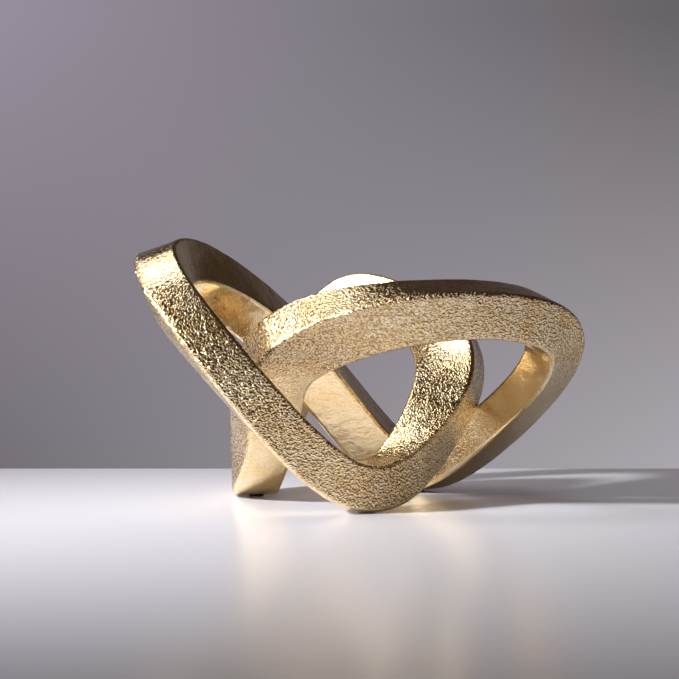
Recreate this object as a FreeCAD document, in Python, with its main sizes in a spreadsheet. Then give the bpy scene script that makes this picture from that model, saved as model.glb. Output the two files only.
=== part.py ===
# Metal knot sculpture: one square band, cast in three lobes, that winds into a closed three-lobed knot.
# The lobes are butt jointed at the three knees over hidden steel dowels and stand on three felt pads.
# Frame: +Z up, +X to the right of the front view, +Y away from the viewer, millimetres,
# origin on the resting surface under the middle of the outline.

import FreeCAD, Part
import Sketcher
import math
import os

from FreeCAD import Matrix, Placement, Vector

doc = FreeCAD.newDocument("knot_sculpture")

# The driving dimensions
sizes = doc.addObject("Spreadsheet::Sheet", "Sizes")
DRIVING = [
    ("band_width", 28.0, "side of the nearly square band"),
    ("edge_chamfer", 2.0, "chamfer along the band's four long edges"),
    ("lobe_reach", 125.0, "from the knot's upright axis to the middle of the band at a lobe's tip"),
    ("crest_height", 130.0, "height of the middle of the band at a lobe's crest"),
    ("dowel_diameter", 10.0, "steel dowel across each knee joint"),
    ("dowel_length", 36.0, "steel dowel, end to end"),
    ("dowel_clearance", 0.1, "gap between a dowel and the wall of its bore"),
    ("bore_relief", 1.0, "room left past each end of a dowel in its bore"),
    ("pad_diameter", 10.0, "felt pad under each foot"),
    ("pad_thickness", 3.0, "felt pad, from its seat to the surface"),
    ("seat_clearance", 0.2, "gap around a pad in its spot-faced seat"),
    ("seat_depth", 1.8, "depth of a seat in the middle of a foot's underside"),
]
for row, (alias, value, note) in enumerate(DRIVING, start=1):
    sizes.set("A%d" % row, alias)
    sizes.set("B%d" % row, str(value))
    sizes.set("C%d" % row, note)
    sizes.setAlias("B%d" % row, alias)
doc.recompute()

# The loop, laid out by hand, six stations a lobe in the order that the band runs:
# tip of the lobe, falling leg, foot, rise, knee, and the run up to the next tip.
# Columns: place along the lobe, bearing in the lobe's own third turned to the left lobe (degrees),
# reach (share of lobe_reach), height (share of crest_height), roll of the section (degrees),
# size across and size through the band (shares of band_width).
LEFT_LOBE_SHARES = [
    (0.000, 204.0, 1.050, 1.090, 62.0, 1.07, 1.00),
    (0.200, 232.5, 0.951, 0.615, 39.0, 1.00, 0.98),
    (0.333, 262.5, 0.635, 0.146, 8.0, 0.98, 1.02),
    (0.500, 317.0, 0.415, 0.270, -14.0, 1.10, 0.94),
    (0.667, 380.5, 0.524, 0.635, 31.0, 1.44, 1.06),
    (0.833, 422.0, 0.720, 0.905, 82.0, 1.16, 1.05),
]
BACK_LOBE_SHARES = [
    (0.000, 211.0, 0.880, 0.990, 70.0, 1.05, 1.03),
    (0.200, 235.0, 0.850, 0.530, 29.0, 1.00, 1.00),
    (0.333, 269.0, 0.615, 0.121, 2.0, 1.06, 0.98),
    (0.500, 320.5, 0.505, 0.350, -11.0, 1.24, 1.06),
    (0.667, 356.7, 0.611, 0.740, 31.0, 1.45, 1.10),
    (0.833, 413.5, 0.730, 0.917, 70.0, 1.12, 1.06),
]
RIGHT_LOBE_SHARES = [
    (0.000, 209.5, 1.000, 0.888, 63.0, 1.06, 0.99),
    (0.200, 233.0, 0.905, 0.551, 37.0, 1.00, 0.90),
    (0.333, 269.0, 0.637, 0.208, 6.0, 0.99, 0.99),
    (0.500, 311.5, 0.543, 0.177, 2.0, 1.11, 1.13),
    (0.667, 364.0, 0.512, 0.680, 37.0, 1.27, 1.16),
    (0.833, 417.5, 0.766, 1.079, 70.0, 1.18, 1.05),
]
LOBE_TABLES = [LEFT_LOBE_SHARES, BACK_LOBE_SHARES, RIGHT_LOBE_SHARES]
LOBES = len(LOBE_TABLES)
LOBE_TURN = 2 * 360.0 / LOBES
KNEE_SHARE = 0.667
SECTIONS = 17
STEPS = 180


def closed_curve(points, places):
    """A closed smooth curve through the points, which it passes at the given places.

    The points are gone round three times, and only the middle round is used, so the loop has no seam.
    """
    rounds = [place + LOBES * turn for turn in (-1, 0, 1) for place in places]
    curve = Part.BSplineCurve()
    curve.interpolate(Points=points * 3, Parameters=rounds)
    return curve


def lay_out_loop():
    """The band's middle line, and a curve of its roll and its two size shares, over the same places."""
    places = []
    middles = []
    sections = []
    for lobe, table in enumerate(LOBE_TABLES):
        for place, bearing, reach_share, height_share, roll, across_share, through_share in table:
            angle = math.radians(bearing + LOBE_TURN * lobe)
            reach = sizes.lobe_reach * reach_share
            places.append(place + lobe)
            middles.append(Vector(
                reach * math.cos(angle),
                reach * math.sin(angle),
                sizes.crest_height * height_share,
            ))
            sections.append(Vector(roll, across_share, through_share))
    return closed_curve(middles, places), closed_curve(sections, places)


middle_line, section_line = lay_out_loop()


def section_placement(place):
    """The plane of the band's section: X outward from the knot's axis, turned by the roll, Z back along it."""
    place = place % LOBES
    middle = middle_line.value(place)
    along = middle_line.tangent(place)[0]
    radial = Vector(middle.x, middle.y, 0)
    radial = (radial - along * radial.dot(along)).normalize()
    rising = radial.cross(along)
    roll = math.radians(section_line.value(place).x)
    outward = radial * math.cos(roll) + rising * math.sin(roll)
    upward = rising * math.cos(roll) - radial * math.sin(roll)
    normal = outward.cross(upward)
    return Placement(Matrix(
        outward.x, upward.x, normal.x, middle.x,
        outward.y, upward.y, normal.y, middle.y,
        outward.z, upward.z, normal.z, middle.z,
        0, 0, 0, 1,
    ))


def spread_sections(first):
    """The places of a lobe's sections, so that the band bends and twists alike from each to the next."""
    places = [first + step / STEPS for step in range(STEPS + 1)]
    turned = [0.0]
    for start, end in zip(places, places[1:]):
        turn = section_placement(start).Rotation.inverted() * section_placement(end).Rotation
        turned.append(turned[-1] + min(turn.Angle, 2 * math.pi - turn.Angle))
    chosen = []
    for number in range(SECTIONS + 1):
        wanted = turned[-1] * number / SECTIONS
        chosen.append(min(zip(turned, places), key=lambda pair: abs(pair[0] - wanted))[1])
    print("each lobe section turned by", round(math.degrees(turned[-1] / SECTIONS), 1), "degrees")
    return chosen


def find_foot(lobe):
    """The middle of the band's underside, at the place where a lobe's middle line is lowest."""
    places = [lobe + step / STEPS for step in range(STEPS)]
    place = min(places, key=lambda candidate: middle_line.value(candidate).z)
    half_through = sizes.band_width * section_line.value(place).z / 2
    print("foot at", round(place, 3), "roll", round(section_line.value(place).x, 1))
    return section_placement(place).multVec(Vector(0, -half_through, 0))


def add_section(body, name, place):
    """The chamfered square of the band at a place along the loop, as a sketch of the body."""
    shares = section_line.value(place % LOBES)
    half_across = sizes.band_width * shares.y / 2
    half_through = sizes.band_width * shares.z / 2
    chamfer = sizes.edge_chamfer
    in_x = half_across - chamfer
    in_y = half_through - chamfer
    half_outline = [(half_across, -in_y), (half_across, in_y), (in_x, half_through), (-in_x, half_through)]
    corners = [Vector(x, y, 0) for x, y in half_outline]
    corners += [-corner for corner in corners]
    sketch = body.newObject("Sketcher::SketchObject", name)
    sketch.Placement = section_placement(place)
    for start, end in zip(corners, corners[1:] + corners[:1]):
        sketch.addGeometry(Part.LineSegment(start, end), False)
    sides = len(corners)
    rules = [Sketcher.Constraint("Coincident", side, 2, (side + 1) % sides, 1) for side in range(sides)]
    for side in range(sides // 2):
        rules.append(Sketcher.Constraint("Symmetric", side, 1, side + sides // 2, 1, -1, 1))
    rules.append(Sketcher.Constraint("Vertical", 0))
    rules.append(Sketcher.Constraint("Horizontal", 2))
    sketch.addConstraint(rules)
    across_rule = "Sizes.band_width * %.4f" % shares.y
    through_rule = "Sizes.band_width * %.4f" % shares.z
    chamfer_rule = "Sizes.edge_chamfer"
    for kind, low, high, size, rule in (
        ("DistanceX", 4, 0, 2 * half_across, across_rule),
        ("DistanceY", 7, 3, 2 * half_through, through_rule),
        ("DistanceX", 2, 1, chamfer, chamfer_rule),
        ("DistanceY", 1, 2, chamfer, chamfer_rule),
        ("DistanceX", 4, 3, chamfer, chamfer_rule),
        ("DistanceY", 4, 3, chamfer, chamfer_rule),
    ):
        index = sketch.addConstraint(Sketcher.Constraint(kind, low, 1, high, 1, size))
        sketch.setExpression("Constraints[%d]" % index, rule)
    return sketch


def add_bore(body, name, place, at_end):
    """Half of a knee's dowel bore, sunk square into a butt face."""
    sketch = body.newObject("Sketcher::SketchObject", name + "_circle")
    sketch.Placement = section_placement(place)
    bore_radius = sizes.dowel_diameter / 2 + sizes.dowel_clearance
    sketch.addGeometry(Part.Circle(Vector(0, 0, 0), Vector(0, 0, 1), bore_radius), False)
    sketch.addConstraint([
        Sketcher.Constraint("Coincident", 0, 3, -1, 1),
        Sketcher.Constraint("Radius", 0, bore_radius),
    ])
    sketch.setExpression("Constraints[1]", "Sizes.dowel_diameter / 2 + Sizes.dowel_clearance")
    bore = body.newObject("PartDesign::Pocket", name)
    bore.Profile = sketch
    bore.setExpression("Length", "Sizes.dowel_length / 2 + Sizes.bore_relief")
    bore.Reversed = at_end
    return bore


def add_band(label, lobe):
    """One casting: the band from the knee before a lobe to the knee after it."""
    body = doc.addObject("PartDesign::Body", label)
    body.Label = label
    first = lobe - 1 + KNEE_SHARE
    sketches = []
    for number, place in enumerate(spread_sections(first)):
        sketches.append(add_section(body, "%s_section_%d" % (label, number), place))
    doc.recompute()
    band = body.newObject("PartDesign::AdditiveLoft", label + "_band")
    band.Profile = sketches[0]
    band.Sections = sketches[1:]
    band.Ruled = True
    doc.recompute()
    solid = band.Shape.Volume
    for name, place, at_end in ((label + "_bore_in", first, False), (label + "_bore_out", first + 1, True)):
        add_bore(body, name, place, at_end)
        doc.recompute()
        bored = body.Shape.Volume
        print(name, "took away", round(solid - bored, 1))
        solid = bored
    return body


def add_seat(body, foot, level):
    """The round seat of a felt pad, spot-faced into the underside of a foot up to a level."""
    sketch = body.newObject("Sketcher::SketchObject", body.Label + "_seat_circle")
    sketch.Placement = Placement(Vector(foot.x, foot.y, level), FreeCAD.Rotation())
    seat_radius = sizes.pad_diameter / 2 + sizes.seat_clearance
    sketch.addGeometry(Part.Circle(Vector(0, 0, 0), Vector(0, 0, 1), seat_radius), False)
    sketch.addConstraint([
        Sketcher.Constraint("Coincident", 0, 3, -1, 1),
        Sketcher.Constraint("Radius", 0, seat_radius),
    ])
    sketch.setExpression("Constraints[1]", "Sizes.pad_diameter / 2 + Sizes.seat_clearance")
    seat = body.newObject("PartDesign::Pocket", body.Label + "_seat")
    seat.Profile = sketch
    seat.setExpression("Length", "Sizes.band_width")
    before = body.Shape.Volume
    doc.recompute()
    print(seat.Label, "took away", round(before - body.Shape.Volume, 1))
    return sketch.Placement.Base


def add_cylinder(label, radius_rule, height_rule):
    body = doc.addObject("PartDesign::Body", label)
    body.Label = label
    cylinder = body.newObject("PartDesign::AdditiveCylinder", label + "_cylinder")
    cylinder.setExpression("Radius", radius_rule)
    cylinder.setExpression("Height", height_rule)
    doc.recompute()
    return body


# Three castings, named for the side that each lobe leans to
bands = []
for lobe, label in enumerate(("left_lobe", "back_lobe", "right_lobe")):
    bands.append(add_band(label, lobe))

# The three seats are cut up to one level, so that the knot stands on its pads without rocking
feet = [find_foot(lobe) for lobe in range(LOBES)]
print("undersides", [round(foot.z, 2) for foot in feet])
print("lowest points", [round(body.Shape.optimalBoundingBox(False).ZMin, 2) for body in bands])
seat_level = max(foot.z for foot in feet) + sizes.seat_depth
seats = [add_seat(body, foot, seat_level) for foot, body in zip(feet, bands)]

# A steel dowel across each knee, centred on the butt faces
dowels = []
for lobe, label in enumerate(("right_knee_dowel", "front_knee_dowel", "rear_knee_dowel")):
    body = add_cylinder(label, "Sizes.dowel_diameter / 2", "Sizes.dowel_length")
    joint = section_placement(lobe + KNEE_SHARE)
    body.Placement = joint * Placement(Vector(0, 0, -sizes.dowel_length / 2), FreeCAD.Rotation())
    dowels.append(body)

# A felt pad in each seat
pads = []
for seat, label in zip(seats, ("front_foot_pad", "left_foot_pad", "right_foot_pad")):
    body = add_cylinder(label, "Sizes.pad_diameter / 2", "Sizes.pad_thickness")
    body.Placement = Placement(seat - Vector(0, 0, sizes.pad_thickness), FreeCAD.Rotation())
    pads.append(body)
doc.recompute()

# The whole knot is moved so that the origin lies on the surface, under the middle of its outline
pieces = bands + dowels + pads
outline = FreeCAD.BoundBox()
for body in bands + pads:
    outline.add(body.Shape.optimalBoundingBox(False))
shift = Vector(-outline.Center.x, -outline.Center.y, -outline.ZMin)
for body in pieces:
    body.Placement = Placement(shift, FreeCAD.Rotation()) * body.Placement
doc.recompute()
print("outline", round(outline.XLength, 1), round(outline.YLength, 1), round(outline.ZLength, 1))
print("upright axis at", round(shift.x, 1), round(shift.y, 1))

# Every object is checked before anything is written
for item in doc.Objects:
    if "Invalid" in item.State or "Error" in item.State:
        raise RuntimeError("%s failed: %s" % (item.Label, item.State))
os.makedirs("parts", exist_ok=True)
for body in pieces:
    shape = body.Shape
    if shape.isNull() or not shape.isValid() or len(shape.Solids) != 1:
        raise RuntimeError("%s is not one valid solid" % body.Label)
    shape.exportStep("parts/%s.step" % body.Label)
    print(body.Label, round(shape.Volume, 1))
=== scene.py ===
# Metal knot sculpture: one closed square band of gold-coated cast metal, wound into a three-lobed knot.
import math

import bmesh
import bpy
import numpy as np
from mathutils import Matrix, Vector


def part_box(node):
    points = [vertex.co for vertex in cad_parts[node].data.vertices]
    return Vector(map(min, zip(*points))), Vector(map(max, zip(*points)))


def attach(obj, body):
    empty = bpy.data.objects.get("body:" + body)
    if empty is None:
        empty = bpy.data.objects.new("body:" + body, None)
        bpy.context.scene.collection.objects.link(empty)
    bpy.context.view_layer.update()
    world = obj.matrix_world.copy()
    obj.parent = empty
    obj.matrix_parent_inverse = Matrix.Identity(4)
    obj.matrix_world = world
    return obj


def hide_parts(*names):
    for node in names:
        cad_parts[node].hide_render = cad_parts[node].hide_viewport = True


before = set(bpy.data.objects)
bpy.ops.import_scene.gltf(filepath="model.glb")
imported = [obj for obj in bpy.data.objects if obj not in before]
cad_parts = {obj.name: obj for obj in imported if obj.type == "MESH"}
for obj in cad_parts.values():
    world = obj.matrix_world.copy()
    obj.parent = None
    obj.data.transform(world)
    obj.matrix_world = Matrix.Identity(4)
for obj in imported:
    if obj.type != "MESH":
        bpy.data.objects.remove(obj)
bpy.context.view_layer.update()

# The three castings. Each is one lobe of the square band, sand cast in aluminium and coated gold.
# The sand leaves a pebbled skin all over, and the long edges are softly rounded.
# The lobes meet face to face over dowels at the knees, where the seams are dressed away.
BAND_WIDTH = 0.028
EDGE_RADIUS = 0.0025
LOBE_REACH = 0.125
CREST_HEIGHT = 0.130
KNEE_SHARE = 0.667

# Place along the lobe, bearing (degrees), reach share, height share, roll (degrees), and the shares of
# the band's width across and through, at the tip, falling leg, foot, rise, knee and run of each lobe.
LEFT_LOBE_SHARES = [
    (0.000, 204.0, 1.050, 1.090, 62.0, 1.07, 1.00),
    (0.200, 232.5, 0.951, 0.615, 39.0, 1.00, 0.98),
    (0.333, 262.5, 0.635, 0.146, 8.0, 0.98, 1.02),
    (0.500, 317.0, 0.415, 0.270, -14.0, 1.10, 0.94),
    (0.667, 380.5, 0.524, 0.635, 31.0, 1.44, 1.06),
    (0.833, 422.0, 0.720, 0.905, 82.0, 1.16, 1.05),
]
BACK_LOBE_SHARES = [
    (0.000, 211.0, 0.880, 0.990, 70.0, 1.05, 1.03),
    (0.200, 235.0, 0.850, 0.530, 29.0, 1.00, 1.00),
    (0.333, 269.0, 0.615, 0.121, 2.0, 1.06, 0.98),
    (0.500, 320.5, 0.505, 0.350, -11.0, 1.24, 1.06),
    (0.667, 356.7, 0.611, 0.740, 31.0, 1.45, 1.10),
    (0.833, 413.5, 0.730, 0.917, 70.0, 1.12, 1.06),
]
RIGHT_LOBE_SHARES = [
    (0.000, 209.5, 1.000, 0.888, 63.0, 1.06, 0.99),
    (0.200, 233.0, 0.905, 0.551, 37.0, 1.00, 0.90),
    (0.333, 269.0, 0.637, 0.208, 6.0, 0.99, 0.99),
    (0.500, 311.5, 0.543, 0.177, 2.0, 1.11, 1.13),
    (0.667, 364.0, 0.512, 0.680, 37.0, 1.27, 1.16),
    (0.833, 417.5, 0.766, 1.079, 70.0, 1.18, 1.05),
]
LOBE_SHARES = [LEFT_LOBE_SHARES, BACK_LOBE_SHARES, RIGHT_LOBE_SHARES]
LOBES = len(LOBE_SHARES)
LOBE_NAMES = ["left_lobe", "back_lobe", "right_lobe"]
PAD_NAMES = ["front_foot_pad", "left_foot_pad", "right_foot_pad"]

# The loop goes round its middle twice before it closes
WINDINGS = 2
LOBE_TURN = WINDINGS * 360.0 / LOBES


class ClosedSpline:
    """The smooth closed curve through the points of the loop, which it passes at the given places."""

    def __init__(self, places, points):
        self.places = np.array(list(places) + [places[0] + LOBES])
        self.points = np.array(list(points) + [points[0]])
        gaps = np.diff(self.places)
        count = len(gaps)
        bend_rows = np.zeros((count, count))
        slope_steps = np.zeros((count, self.points.shape[1]))
        slopes = np.diff(self.points, axis=0) / gaps[:, None]
        for here in range(count):
            before = here - 1
            after = (here + 1) % count
            bend_rows[here, before] += gaps[before] / 6
            bend_rows[here, here] += (gaps[before] + gaps[here]) / 3
            bend_rows[here, after] += gaps[here] / 6
            slope_steps[here] = slopes[here] - slopes[before]
        bends = np.linalg.solve(bend_rows, slope_steps)
        self.bends = np.vstack([bends, bends[:1]])

    def value_and_slope(self, places):
        wrapped = (np.asarray(places) - self.places[0]) % LOBES + self.places[0]
        span = np.searchsorted(self.places, wrapped, side="right") - 1
        span = np.clip(span, 0, len(self.places) - 2)
        start = self.points[span]
        end = self.points[span + 1]
        start_bend = self.bends[span]
        end_bend = self.bends[span + 1]
        gap = (self.places[span + 1] - self.places[span])[:, None]
        done = (wrapped - self.places[span])[:, None] / gap
        left = 1 - done
        value = left * start + done * end
        value += ((left ** 3 - left) * start_bend + (done ** 3 - done) * end_bend) * gap ** 2 / 6
        slope = (end - start) / gap
        slope += ((3 * done ** 2 - 1) * end_bend - (3 * left ** 2 - 1) * start_bend) * gap / 6
        return value, slope


loop_places = []
loop_middles = []
loop_sections = []
for lobe, table in enumerate(LOBE_SHARES):
    for place, bearing, reach_share, height_share, roll, across_share, through_share in table:
        angle = math.radians(bearing + LOBE_TURN * lobe)
        reach = LOBE_REACH * reach_share
        loop_places.append(place + lobe)
        loop_middles.append((reach * math.cos(angle), reach * math.sin(angle), CREST_HEIGHT * height_share))
        loop_sections.append((roll, across_share, through_share))
middle_line = ClosedSpline(loop_places, loop_middles)
section_line = ClosedSpline(loop_places, loop_sections)


class BandAt:
    """The band's middle, its outward, upward and forward directions and its half widths at the places."""

    def __init__(self, places):
        self.middle, slope = middle_line.value_and_slope(places)
        self.along = slope / np.linalg.norm(slope, axis=1)[:, None]
        radial = self.middle * np.array([1.0, 1.0, 0.0])
        radial -= self.along * np.sum(radial * self.along, axis=1)[:, None]
        radial /= np.linalg.norm(radial, axis=1)[:, None]
        rising = np.cross(radial, self.along)
        section = section_line.value_and_slope(places)[0]
        roll = np.radians(section[:, :1])
        self.outward = radial * np.cos(roll) + rising * np.sin(roll)
        self.upward = rising * np.cos(roll) - radial * np.sin(roll)
        self.half_across = BAND_WIDTH * section[:, 1:2] / 2
        self.half_through = BAND_WIDTH * section[:, 2:3] / 2


# The felt pads' seats fix where the loop stands: each is in the underside where its lobe is lowest.
SEAT_DEPTH = 0.0018
SEAT_CLEARANCE = 0.0002
FOOT_STEPS = 180


def find_foot(lobe):
    """The point of the band's underside where the lobe is lowest."""
    places = lobe + np.arange(FOOT_STEPS) / FOOT_STEPS
    heights = middle_line.value_and_slope(places)[0][:, 2]
    foot = BandAt(places[[np.argmin(heights)]])
    return (foot.middle - foot.upward * foot.half_through)[0]


feet = [find_foot(lobe) for lobe in range(LOBES)]
first_pad_low, first_pad_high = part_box(PAD_NAMES[0])
seat_level = max(foot[2] for foot in feet) + SEAT_DEPTH
loop_shift = np.array([
    (first_pad_low[0] + first_pad_high[0]) / 2 - feet[0][0],
    (first_pad_low[1] + first_pad_high[1]) / 2 - feet[0][1],
    first_pad_high[2] - seat_level,
])

# The casting's skin is modelled finely enough to carry the sand's pebbles as real relief
EDGE_SEGMENTS = 8
SIDE_CUTS = 29
FIRST_ROWS = 26
ROW_CUTS = 24


def cut_blank(name):
    """A straight open blank of the band, upright and one unit long, with rounded edges and fine faces."""
    bpy.ops.object.select_all(action="DESELECT")
    bpy.ops.mesh.primitive_plane_add(size=BAND_WIDTH)
    blank = bpy.context.object
    blank.name = name
    blank.data.name = name
    bpy.ops.object.mode_set(mode="EDIT")
    bpy.ops.mesh.bevel(offset=EDGE_RADIUS, segments=EDGE_SEGMENTS, affect="VERTICES")
    bpy.ops.mesh.delete(type="ONLY_FACE")
    mesh = bmesh.from_edit_mesh(blank.data)
    for edge in mesh.edges:
        is_side = edge.calc_length() > BAND_WIDTH / 2
        edge.select_set(is_side)
    bmesh.update_edit_mesh(blank.data)
    bpy.ops.mesh.subdivide(number_cuts=SIDE_CUTS)
    bpy.ops.mesh.select_all(action="SELECT")
    bpy.ops.mesh.extrude_region_move(TRANSFORM_OT_translate={"value": (0, 0, 1)})
    for cuts in (FIRST_ROWS - 1, ROW_CUTS):
        mesh = bmesh.from_edit_mesh(blank.data)
        for edge in mesh.edges:
            rise = abs(edge.verts[0].co.z - edge.verts[1].co.z)
            is_upright = rise > 1 / (2 * FIRST_ROWS)
            edge.select_set(is_upright)
        bmesh.update_edit_mesh(blank.data)
        bpy.ops.mesh.subdivide(number_cuts=cuts)
    bpy.ops.object.mode_set(mode="OBJECT")
    return blank


# How strongly the sand shows on the outer, upper, inner and lower faces, as shares of the outer one.
# Hands have rubbed the high bends smoother, but for their lower faces. Those are wiped smoother toward
# the feet. FACE_SHARPNESS is how suddenly one face's skin changes to the next's at the rounded edge.
# The same shares also set how deep the painted shade in the pits of the gold coat is.
FACE_PEBBLING_SHARES = {(1, 0): 1.00, (0, 1): 0.38, (-1, 0): 0.20, (0, -1): 1.40}
FACE_SHARPNESS = 8
RUBBED_SHARE = 0.64
RUBBED_LOW = 0.070
RUBBED_HIGH = 0.145
WIPED_SHARE = 0.80
WIPED_LOW = 0.055
WIPED_HIGH = 0.110


def mark_pebbling(blank, corners, heights):
    """Stores on the mesh how coarse its skin is, from the face that a corner is on and its height."""
    strength = np.zeros(len(corners))
    total = np.zeros(len(corners))
    rubbed = RUBBED_SHARE * np.clip((heights - RUBBED_LOW) / (RUBBED_HIGH - RUBBED_LOW), 0, 1)
    wiped = WIPED_SHARE * np.clip((WIPED_HIGH - heights) / (WIPED_HIGH - WIPED_LOW), 0, 1)
    for (across, through), coarse in FACE_PEBBLING_SHARES.items():
        toward_face = (corners[:, 0] * across + corners[:, 1] * through) / (BAND_WIDTH / 2)
        weight = np.clip(toward_face, 0, 1) ** FACE_SHARPNESS
        handled = rubbed if through >= 0 else wiped
        strength += weight * coarse * (1 - handled)
        total += weight
    strength /= total
    blank.data.attributes.new("pebbling", "FLOAT", "POINT").data.foreach_set("value", strength)
    coarse_group = blank.vertex_groups.new(name="pebbling")
    for index, coarse in enumerate(strength.tolist()):
        coarse_group.add([index], min(coarse, 1), "REPLACE")


# The steps in which a lobe's length is measured, so that the blank's rows lie evenly along it
LENGTH_STEPS = 1000


def lay_blank(blank, first):
    """Bends the blank along the loop, from the knee before the lobe to the knee after it."""
    corners = np.empty(len(blank.data.vertices) * 3)
    blank.data.vertices.foreach_get("co", corners)
    corners = corners.reshape(-1, 3)
    fine = first + np.linspace(0, 1, LENGTH_STEPS + 1)
    steps = np.linalg.norm(np.diff(middle_line.value_and_slope(fine)[0], axis=0), axis=1)
    run = np.concatenate([[0.0], np.cumsum(steps)])
    band = BandAt(np.interp(corners[:, 2] * run[-1], run, fine))
    flat = BAND_WIDTH / 2 - EDGE_RADIUS
    offsets = []
    for column, half in ((0, band.half_across[:, 0]), (1, band.half_through[:, 0])):
        size = np.abs(corners[:, column])
        inner = np.minimum(size, flat) * (half - EDGE_RADIUS) / flat
        offsets.append(np.sign(corners[:, column]) * (inner + np.maximum(size - flat, 0)))
    across, through = offsets
    laid = band.middle + band.outward * across[:, None] + band.upward * through[:, None] + loop_shift
    blank.data.vertices.foreach_set("co", laid.ravel())
    blank.data.update()
    mark_pebbling(blank, corners, laid[:, 2])
    return corners[:, 2]


# Sand relief: pebbles nearly two millimetres across and finer grit, over slow unevenness from dressing
# the casting by hand
PEBBLE_SIZE = 0.0017
PEBBLE_HEIGHT = 0.00028
GRIT_SIZE = 0.0011
GRIT_HEIGHT = 0.00018
GRIT_LAYERS = 1
DRESSING_SIZE = 0.014
DRESSING_HEIGHT = 0.00055
DRESSING_LAYERS = 2


def relief_texture(name, kind, size):
    texture = bpy.data.textures.new(name, kind)
    texture.noise_scale = size
    return texture


pebbles = relief_texture("sand_pebbles", "VORONOI", PEBBLE_SIZE)
grit = relief_texture("sand_grit", "CLOUDS", GRIT_SIZE)
grit.noise_depth = GRIT_LAYERS
dressing = relief_texture("hand_dressing", "CLOUDS", DRESSING_SIZE)
dressing.noise_depth = DRESSING_LAYERS


def press_relief(casting):
    for texture, height in ((dressing, DRESSING_HEIGHT), (pebbles, -PEBBLE_HEIGHT), (grit, GRIT_HEIGHT)):
        relief = casting.modifiers.new(texture.name, "DISPLACE")
        relief.texture = texture
        relief.texture_coords = "LOCAL"
        relief.direction = "NORMAL"
        relief.strength = height
        if texture is not dressing:
            relief.vertex_group = "pebbling"
        bpy.ops.object.modifier_apply(modifier=relief.name)


def sink_seat(casting, pad):
    """The spot-faced seat of a felt pad in the underside of a foot."""
    low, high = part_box(pad)
    seat_radius = (high[0] - low[0]) / 2 + SEAT_CLEARANCE
    middle = ((high[0] + low[0]) / 2, (high[1] + low[1]) / 2)
    for corner in casting.data.vertices:
        inside = math.hypot(corner.co.x - middle[0], corner.co.y - middle[1]) < seat_radius
        if inside and corner.co.z < high[2]:
            corner.co.z = high[2]


# The blind bore in each end takes half of a dowel, with a little room around it and behind it
BORE_RADIUS = 0.0051
BORE_DEPTH = 0.019
BORE_SIDES = 48


def select_also(casting, indices):
    """Adds the corners with these numbers to the selected ones."""
    mesh = bmesh.from_edit_mesh(casting.data)
    mesh.verts.ensure_lookup_table()
    for index in indices:
        mesh.verts[index].select_set(True)
    mesh.select_flush_mode()
    bmesh.update_edit_mesh(casting.data)


def close_end(casting, rim, place, inward):
    """A butt face with the blind bore of its dowel in the middle."""
    end = BandAt(np.array([place]))
    x_axis = Vector(end.outward[0])
    y_axis = Vector(end.upward[0])
    z_axis = x_axis.cross(y_axis)
    bpy.ops.object.mode_set(mode="EDIT")
    bpy.ops.mesh.select_mode(type="VERT")
    bpy.ops.mesh.select_all(action="DESELECT")
    bpy.ops.mesh.primitive_circle_add(
        vertices=BORE_SIDES,
        radius=BORE_RADIUS,
        location=Vector(end.middle[0] + loop_shift),
        rotation=Matrix((x_axis, y_axis, z_axis)).transposed().to_euler(),
    )
    mesh = bmesh.from_edit_mesh(casting.data)
    mesh.verts.ensure_lookup_table()
    bore_rim = [corner.index for corner in mesh.verts if corner.select]
    select_also(casting, rim)
    bpy.ops.mesh.bridge_edge_loops()
    bpy.ops.mesh.select_all(action="DESELECT")
    select_also(casting, bore_rim)
    sunk = Vector(end.along[0]) * inward * BORE_DEPTH
    bpy.ops.mesh.extrude_region_move(TRANSFORM_OT_translate={"value": sunk})
    bpy.ops.mesh.edge_face_add()
    bpy.ops.object.mode_set(mode="OBJECT")


def add_noise(tree, place, pitch, detail):
    """Unevenness all through a piece, with blots of the given pitch in metres."""
    noise = tree.nodes.new("ShaderNodeTexNoise")
    noise.inputs["Scale"].default_value = 1 / pitch
    noise.inputs["Detail"].default_value = detail
    tree.links.new(place.outputs["Object"], noise.inputs["Vector"])
    return noise


def add_range(tree, value, given, wanted):
    """The value, moved from the given range to the wanted one and held inside it."""
    moved = tree.nodes.new("ShaderNodeMapRange")
    moved.inputs["From Min"].default_value, moved.inputs["From Max"].default_value = given
    moved.inputs["To Min"].default_value, moved.inputs["To Max"].default_value = wanted
    tree.links.new(value, moved.inputs["Value"])
    return moved.outputs["Result"]


def add_ramp(tree, value, low_stop, high_stop):
    """A colour that follows the value between two stops, each a value and its colour."""
    ramp = tree.nodes.new("ShaderNodeValToRGB")
    for element, (position, colour) in zip(ramp.color_ramp.elements, (low_stop, high_stop)):
        element.position = position
        element.color = colour
    tree.links.new(value, ramp.inputs["Fac"])
    return ramp.outputs["Color"]


def add_bump(tree, shader, height, depth):
    """Relief of the given depth in metres, too fine for the mesh."""
    bump = tree.nodes.new("ShaderNodeBump")
    bump.inputs["Distance"].default_value = depth
    tree.links.new(height, bump.inputs["Height"])
    tree.links.new(bump.outputs["Normal"], shader.inputs["Normal"])
    return bump
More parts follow.
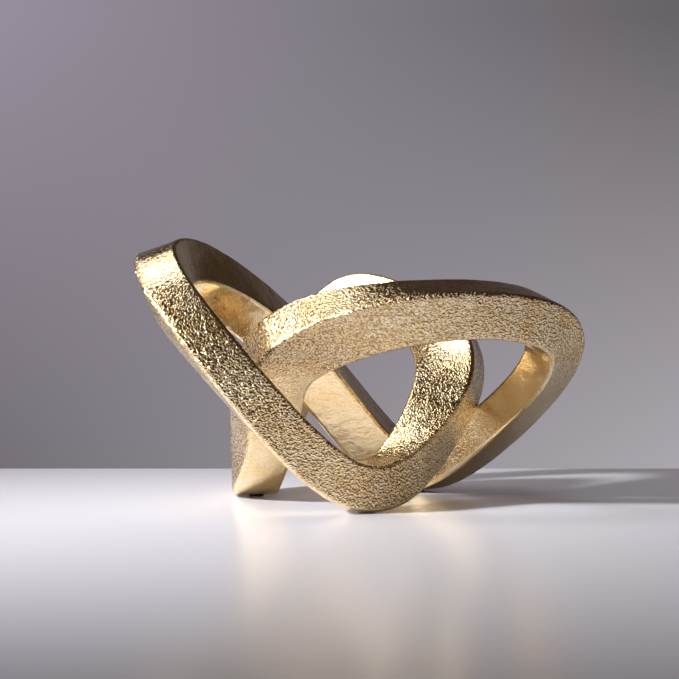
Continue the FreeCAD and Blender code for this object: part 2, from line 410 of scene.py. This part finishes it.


# The finish: a pale gold coat, full bright on the pebbles and darkened to brown with painted shade in the
# pits between them.
# Its colour drifts in patches, and the paler patches are a little duller. Slow noise of WARP_PITCH
# bends the pebbles out of round.
PEBBLE_PITCH = 0.00125
PEBBLE_DEPTH = 0.00068
PEBBLE_SMOOTHNESS = 0.35
PEBBLE_REACH = 0.8
WARP_PITCH = 2 * PEBBLE_PITCH
WARP_DETAIL = 2.0
GRAIN_PITCH = 0.0007
GRAIN_DETAIL = 3.0
GRAIN_SHARE = 0.20
PATCH_PITCH = 0.018
PATCH_DETAIL = 4.0
GOLD_DEEP = (0.86, 0.65, 0.35, 1)
GOLD_DEEP_AT = 0.32
GOLD_PALE = (0.94, 0.80, 0.54, 1)
GOLD_PALE_AT = 0.68
# Painted shade in the pits: the coat is multiplied toward this brown where the pebble height is low, and
# left clear on the pebble tops.
PIT_PAINTED_SHADE = (0.50, 0.40, 0.30, 1)
PIT_PAINTED_SHADE_AT = 0.15
PAINTED_SHADE_CLEAR = (1, 1, 1, 1)
PAINTED_SHADE_CLEAR_AT = 0.52
DULLING_PATCHES = (0.3, 0.7)
GOLD_ROUGHNESS = (0.11, 0.18)


def gold_finish():
    finish = bpy.data.materials.new("gold_on_cast_metal")
    finish.use_nodes = True
    tree = finish.node_tree
    nodes = tree.nodes
    links = tree.links
    shader = nodes["Principled BSDF"]
    shader.inputs["Metallic"].default_value = 1.0
    place = nodes.new("ShaderNodeTexCoord")
    coarse = nodes.new("ShaderNodeAttribute")
    coarse.attribute_name = "pebbling"

    warp = add_noise(tree, place, WARP_PITCH, WARP_DETAIL)
    warped = nodes.new("ShaderNodeVectorMath")
    warped.operation = "MULTIPLY_ADD"
    warped.inputs[1].default_value = (WARP_PITCH, WARP_PITCH, WARP_PITCH)
    links.new(warp.outputs["Color"], warped.inputs[0])
    links.new(place.outputs["Object"], warped.inputs[2])
    cells = nodes.new("ShaderNodeTexVoronoi")
    cells.feature = "SMOOTH_F1"
    cells.inputs["Smoothness"].default_value = PEBBLE_SMOOTHNESS
    cells.inputs["Scale"].default_value = 1 / PEBBLE_PITCH
    links.new(warped.outputs["Vector"], cells.inputs["Vector"])
    domes = add_range(tree, cells.outputs["Distance"], (0, PEBBLE_REACH), (1, 0))
    grain = add_noise(tree, place, GRAIN_PITCH, GRAIN_DETAIL)
    height = nodes.new("ShaderNodeMix")
    height.inputs["Factor"].default_value = GRAIN_SHARE
    links.new(domes, height.inputs["A"])
    links.new(grain.outputs["Fac"], height.inputs["B"])
    bump = add_bump(tree, shader, height.outputs["Result"], PEBBLE_DEPTH)
    links.new(coarse.outputs["Fac"], bump.inputs["Strength"])

    patches = add_noise(tree, place, PATCH_PITCH, PATCH_DETAIL).outputs["Fac"]
    coat = add_ramp(tree, patches, (GOLD_DEEP_AT, GOLD_DEEP), (GOLD_PALE_AT, GOLD_PALE))
    # Painted shade: the coat is multiplied darker in the pits, as strongly as the pebbling share of each
    # corner.
    painted_pit_shade = add_ramp(tree, height.outputs["Result"], (PIT_PAINTED_SHADE_AT, PIT_PAINTED_SHADE), (PAINTED_SHADE_CLEAR_AT, PAINTED_SHADE_CLEAR))
    coat_and_painted_shade = nodes.new("ShaderNodeMix")
    coat_and_painted_shade.data_type = "RGBA"
    coat_and_painted_shade.blend_type = "MULTIPLY"
    links.new(coarse.outputs["Fac"], coat_and_painted_shade.inputs["Factor"])
    links.new(coat, coat_and_painted_shade.inputs["A"])
    links.new(painted_pit_shade, coat_and_painted_shade.inputs["B"])
    links.new(coat_and_painted_shade.outputs["Result"], shader.inputs["Base Color"])
    links.new(add_range(tree, patches, DULLING_PATCHES, GOLD_ROUGHNESS), shader.inputs["Roughness"])
    return finish


# Corners within END_SHARE of a blank's length from its end are on its rim. Edges that turn by more
# degrees than CASTING_SMOOTH_ANGLE stay crisp.
END_SHARE = 1e-6
CASTING_SMOOTH_ANGLE = 50

cast_gold = gold_finish()
for lobe, (node, pad) in enumerate(zip(LOBE_NAMES, PAD_NAMES)):
    casting = cut_blank(node + "_casting")
    first = lobe - 1 + KNEE_SHARE
    along_blank = lay_blank(casting, first)
    press_relief(casting)
    sink_seat(casting, pad)
    start_rim = np.nonzero(along_blank < END_SHARE)[0].tolist()
    end_rim = np.nonzero(along_blank > 1 - END_SHARE)[0].tolist()
    close_end(casting, start_rim, first, 1)
    close_end(casting, end_rim, first + 1, -1)
    bpy.ops.object.mode_set(mode="EDIT")
    bpy.ops.mesh.select_all(action="SELECT")
    bpy.ops.mesh.normals_make_consistent(inside=False)
    bpy.ops.object.mode_set(mode="OBJECT")
    bpy.ops.object.shade_smooth_by_angle(angle=math.radians(CASTING_SMOOTH_ANGLE))
    casting.data.materials.append(cast_gold)
    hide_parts(node)
    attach(casting, "root")

# The knee dowels. Each is a plain piece of steel bar, glued into the blind bores of two castings.
# They are wholly inside the band, and carry the joint where the castings meet.
DOWEL_NAMES = ["right_knee_dowel", "front_knee_dowel", "rear_knee_dowel"]
STEEL_GREY = (0.50, 0.50, 0.51, 1)
STEEL_ROUGHNESS = (0.30, 0.45)
SCRATCH_PITCH = 0.0004
SCRATCH_DETAIL = 2.0
SCRATCH_DEPTH = 0.00005
SCRATCH_STRENGTH = 0.3

bar_steel = bpy.data.materials.new("drawn_bar_steel")
bar_steel.use_nodes = True
steel_tree = bar_steel.node_tree
steel_shader = steel_tree.nodes["Principled BSDF"]
steel_shader.inputs["Metallic"].default_value = 1.0
steel_shader.inputs["Base Color"].default_value = STEEL_GREY
steel_place = steel_tree.nodes.new("ShaderNodeTexCoord")
scratches = add_noise(steel_tree, steel_place, SCRATCH_PITCH, SCRATCH_DETAIL).outputs["Fac"]
steel_bump = add_bump(steel_tree, steel_shader, scratches, SCRATCH_DEPTH)
steel_bump.inputs["Strength"].default_value = SCRATCH_STRENGTH
steel_dulling = add_range(steel_tree, scratches, (0, 1), STEEL_ROUGHNESS)
steel_tree.links.new(steel_dulling, steel_shader.inputs["Roughness"])
for name in DOWEL_NAMES:
    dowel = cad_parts[name]
    for held in dowel.material_slots:
        held.link = "OBJECT"
        held.material = bar_steel

# The foot pads. Each is a disc of dark felt, pressed from sheet and glued into its seat under a foot.
# The knot's weight has rounded the rims a little, and the fibres stand up round them.
PAD_SIDES = 96
PAD_RIM = 0.0005
PAD_RIM_SEGMENTS = 4
PAD_RINGS = 12
PAD_MIDDLE_RINGS = 2
PAD_SMOOTH_ANGLE = 60
FELT_GRAIN = 0.0006
FELT_DETAIL = 5.0
FELT_RELIEF = 0.00012
FELT_ROUGHNESS = 0.95
FELT_SHEEN = 0.5
FELT_DARK = (0.012, 0.010, 0.009, 1)
FELT_LIGHT = (0.060, 0.048, 0.040, 1)
FUZZ_STRENGTH = 0.6
FUZZ_DEPTH = 0.0002

felt = bpy.data.materials.new("dark_felt")
felt.use_nodes = True
felt_tree = felt.node_tree
felt_shader = felt_tree.nodes["Principled BSDF"]
felt_shader.inputs["Roughness"].default_value = FELT_ROUGHNESS
felt_shader.inputs["Sheen Weight"].default_value = FELT_SHEEN
felt_place = felt_tree.nodes.new("ShaderNodeTexCoord")
fibres = add_noise(felt_tree, felt_place, FELT_GRAIN, FELT_DETAIL).outputs["Fac"]
felt_colour = add_ramp(felt_tree, fibres, (0, FELT_DARK), (1, FELT_LIGHT))
felt_tree.links.new(felt_colour, felt_shader.inputs["Base Color"])
fuzz = add_bump(felt_tree, felt_shader, fibres, FUZZ_DEPTH)
fuzz.inputs["Strength"].default_value = FUZZ_STRENGTH

felt_fibres = relief_texture("felt_fibres", "CLOUDS", FELT_GRAIN)
for name in PAD_NAMES:
    low, high = (Vector(corner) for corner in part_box(name))
    pad_radius = (high.x - low.x) / 2
    bpy.ops.object.select_all(action="DESELECT")
    bpy.ops.mesh.primitive_cylinder_add(
        vertices=PAD_SIDES,
        radius=pad_radius - FELT_RELIEF,
        depth=high.z - low.z,
        end_fill_type="NGON",
        location=(low + high) / 2,
    )
    disc = bpy.context.object
    disc.name = name + "_felt"
    bpy.ops.object.transform_apply(location=True, rotation=True, scale=True)
    bpy.ops.object.mode_set(mode="EDIT")
    bpy.ops.mesh.select_all(action="DESELECT")
    mesh = bmesh.from_edit_mesh(disc.data)
    for edge in mesh.edges:
        is_level = abs(edge.verts[0].co.z - edge.verts[1].co.z) < PAD_RIM
        edge.select_set(is_level)
    bmesh.update_edit_mesh(disc.data)
    bpy.ops.mesh.bevel(offset=PAD_RIM, segments=PAD_RIM_SEGMENTS)
    bpy.ops.mesh.select_all(action="DESELECT")
    mesh = bmesh.from_edit_mesh(disc.data)
    for face in mesh.faces:
        is_round = len(face.verts) > 4
        face.select_set(is_round)
    bmesh.update_edit_mesh(disc.data)
    for ring in range(PAD_RINGS):
        bpy.ops.mesh.inset(thickness=pad_radius / (PAD_RINGS + PAD_MIDDLE_RINGS))
    bpy.ops.object.mode_set(mode="OBJECT")
    relief = disc.modifiers.new("felt_fibres", "DISPLACE")
    relief.texture = felt_fibres
    relief.texture_coords = "LOCAL"
    relief.strength = FELT_RELIEF
    bpy.ops.object.modifier_apply(modifier=relief.name)
    for corner in disc.data.vertices:
        corner.co.z = min(max(corner.co.z, low.z), high.z)
    bpy.ops.object.shade_smooth_by_angle(angle=math.radians(PAD_SMOOTH_ANGLE))
    disc.data.materials.append(felt)
    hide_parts(name)
    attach(disc, "root")

# The pale floor that the knot stands on, a smooth lacquered top whose far edge shows behind the knot.
FLOOR_FAR = 0.236
FLOOR_NEAR = -3.0
FLOOR_SIDE = 3.0
FLOOR_PALE = (0.77, 0.78, 0.86, 1)
FLOOR_ROUGHNESS = 0.22

bpy.ops.object.select_all(action="DESELECT")
bpy.ops.mesh.primitive_plane_add(size=1)
floor = bpy.context.object
floor.name = "floor"
floor.scale = (2 * FLOOR_SIDE, FLOOR_FAR - FLOOR_NEAR, 1)
floor.location = (0, (FLOOR_FAR + FLOOR_NEAR) / 2, 0)
bpy.ops.object.transform_apply(location=True, rotation=True, scale=True)
floor_paint = bpy.data.materials.new("pale_lacquer")
floor_paint.use_nodes = True
floor_shader = floor_paint.node_tree.nodes["Principled BSDF"]
floor_shader.inputs["Base Color"].default_value = FLOOR_PALE
floor_shader.inputs["Roughness"].default_value = FLOOR_ROUGHNESS
floor.data.materials.append(floor_paint)

# Soft studio light: a large soft lamp like a window, high on the left and a little behind, and a small
# stronger lamp lower on the left. Both are narrowed, so they light only a pool round the knot.
LAMP_AIM = Vector((0.02, -0.02, 0.05))


def hang_lamp(name, place, size, spread, power, colour):
    """A round lamp turned to the knot. The size is in metres, the spread in degrees, the power in watts."""
    light = bpy.data.lights.new(name, "AREA")
    light.shape = "DISK"
    light.size = size
    light.spread = math.radians(spread)
    light.energy = power
    light.color = colour
    lamp = bpy.data.objects.new(name, light)
    lamp.location = place
    lamp.rotation_euler = (LAMP_AIM - Vector(place)).to_track_quat("-Z", "Y").to_euler()
    bpy.context.scene.collection.objects.link(lamp)


hang_lamp(
    "window_lamp",
    place=(-0.643, 0.286, 1.394),
    size=0.68,
    spread=50,
    power=0.54,
    colour=(1.0, 0.985, 0.97),
)
hang_lamp(
    "low_lamp",
    place=(-1.19, -0.555, 0.80),
    size=0.14,
    spread=46,
    power=2.90,
    colour=(1.0, 0.985, 0.965),
)

# The room that the gold mirrors: a mauve-grey wall behind the table, pale ground below, a dim warm side
# behind the viewer, a darker ceiling and a white screen on the left. The camera sees only the wall and
# the ground. Each FADE is a pair of values between which one thing gives way to the next.
WALL_TOP_LEFT = (0.305, 0.275, 0.332, 1)
WALL_TOP_RIGHT = (0.133, 0.120, 0.130, 1)
WALL_LOW_LEFT = (0.178, 0.159, 0.181, 1)
WALL_LOW_RIGHT = (0.407, 0.376, 0.413, 1)
WALL_RIGHTWARD_FADE = (-0.19, 0.19)
WALL_UPWARD_FADE = (-0.077, 0.169)
WALL_TOP_EDGE_FADE = (0.45, 0.25)
WALL_BACKWARD_FADE = (0.2, 0.7)
GROUND = (0.42, 0.41, 0.44, 1)
GROUND_FADE = (-0.095, -0.105)
VIEWER_SIDE = (0.070, 0.052, 0.042, 1)
CEILING = (0.046, 0.032, 0.026, 1)
CEILING_TOWARD = (0.25, 0.70, 0.67)
CEILING_FADE = (-0.7, 0.5)
SCREEN = (1.30, 1.25, 1.20, 1)
SCREEN_TOWARD = (-0.885, -0.380, 0.270)
SCREEN_FADE = (0.70, 0.88)

room = bpy.data.worlds.new("room")
room.use_nodes = True
room_nodes = room.node_tree.nodes
room_links = room.node_tree.links
toward = room_nodes.new("ShaderNodeTexCoord").outputs["Generated"]
toward_parts = room_nodes.new("ShaderNodeSeparateXYZ")
room_links.new(toward, toward_parts.inputs["Vector"])
rightward = toward_parts.outputs["X"]
backward = toward_parts.outputs["Y"]
upward = toward_parts.outputs["Z"]


def fade(value, limits):
    """From 0 at the first of the limits to 1 at the second."""
    return add_range(room.node_tree, value, limits, (0, 1))


def blend(share, first, second):
    """A colour that goes from the first to the second with the share."""
    node = room_nodes.new("ShaderNodeMix")
    node.data_type = "RGBA"
    room_links.new(share, node.inputs["Factor"])
    for socket, colour in (("A", first), ("B", second)):
        if isinstance(colour, tuple):
            node.inputs[socket].default_value = colour
        else:
            room_links.new(colour, node.inputs[socket])
    return node.outputs["Result"]


def product(first, second):
    """One share times another."""
    node = room_nodes.new("ShaderNodeMath")
    node.operation = "MULTIPLY"
    room_links.new(first, node.inputs[0])
    room_links.new(second, node.inputs[1])
    return node.outputs["Value"]


def nearness(direction):
    """How near a look into the room is to the direction, 1 where it goes straight there."""
    node = room_nodes.new("ShaderNodeVectorMath")
    node.operation = "DOT_PRODUCT"
    node.inputs[1].default_value = direction
    room_links.new(toward, node.inputs[0])
    return node.outputs["Value"]


wall_side = fade(rightward, WALL_RIGHTWARD_FADE)
wall_low = blend(wall_side, WALL_LOW_LEFT, WALL_LOW_RIGHT)
wall_top = blend(wall_side, WALL_TOP_LEFT, WALL_TOP_RIGHT)
wall = blend(fade(upward, WALL_UPWARD_FADE), wall_low, wall_top)
upper_room = blend(fade(nearness(CEILING_TOWARD), CEILING_FADE), VIEWER_SIDE, CEILING)
screened_room = blend(fade(nearness(SCREEN_TOWARD), SCREEN_FADE), upper_room, SCREEN)
wall_share = product(fade(upward, WALL_TOP_EDGE_FADE), fade(backward, WALL_BACKWARD_FADE))
around = blend(wall_share, screened_room, wall)
rays = room_nodes.new("ShaderNodeLightPath")
seen = blend(rays.outputs["Is Camera Ray"], around, wall)
whole_room = blend(fade(upward, GROUND_FADE), seen, GROUND)
room_links.new(whole_room, room_nodes["Background"].inputs["Color"])
bpy.context.scene.world = room

# The camera stands where the photograph was taken, a little over a metre in front of the knot and level
# with its upper half. LENS_SHARE is the focal length as a share of the picture's width.
EYE = Vector((-0.0125, -1.1538, 0.1136))
LENS_SHARE = 1770 / 679
SENSOR_WIDTH = 36.0
PITCH_DOWN = math.radians(0.502)

eye = bpy.data.cameras.new("camera")
eye.sensor_width = SENSOR_WIDTH
eye.lens = SENSOR_WIDTH * LENS_SHARE
camera = bpy.data.objects.new("camera", eye)
camera.location = EYE
camera.rotation_euler = (math.radians(90) - PITCH_DOWN, 0, 0)
bpy.context.scene.collection.objects.link(camera)
bpy.context.scene.camera = camera

bpy.context.scene.view_settings.view_transform = "Standard"
